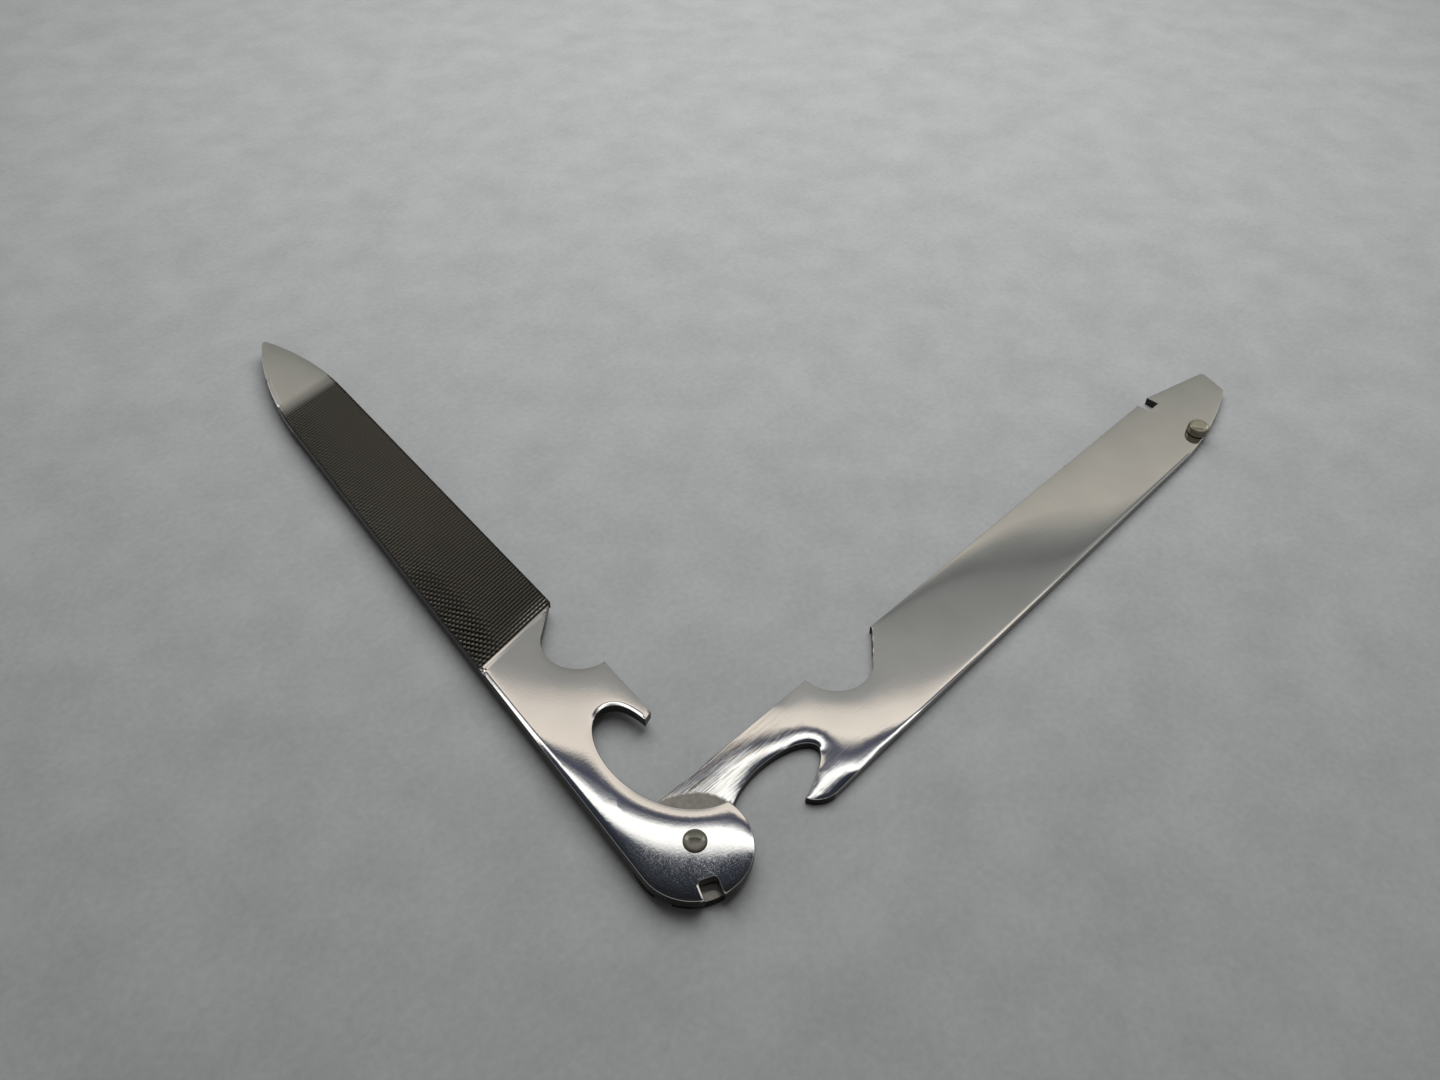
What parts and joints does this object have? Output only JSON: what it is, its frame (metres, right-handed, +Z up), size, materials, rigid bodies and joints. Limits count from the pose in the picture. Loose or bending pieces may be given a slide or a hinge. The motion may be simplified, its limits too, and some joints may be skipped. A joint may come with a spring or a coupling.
{
  "type": "folding nail clipper",
  "caption": "Folding pocket nail clipper: flat steel blades on a rivet with facing nail notches, file teeth, cap-lifting hooks, a pointed cleaner tip and a flat driver end.",
  "frame": {"origin": "under the middle of the open tool, on the surface that the opener blade lies on", "axes": "+Z up through the blades, +X from the rivet towards the opener blade's tip"},
  "size_m": [0.0794, 0.0762, 0.0022],
  "materials": {
    "opener_steel": "polished stainless steel with fine scratches along the blade",
    "file_steel": "polished stainless steel, dark between the cut file teeth",
    "rivet_steel": "turned and peened steel",
    "stud_steel": "turned steel with a warm tint"
  },
  "bodies": {
    "opener": {"opener_blade": "opener_steel", "pivot_rivet": "rivet_steel", "stop_stud": "stud_steel"},
    "file": {"file_blade": "file_steel"}
  },
  "joints": [
    {"name": "file_hinge", "type": "hinge", "parent": "opener", "child": "file", "pos_m": [-0.03527, -0.03375, 0.00125], "axis": [0, 0, 1], "range_deg": [-81.5, 272]}
  ]
}
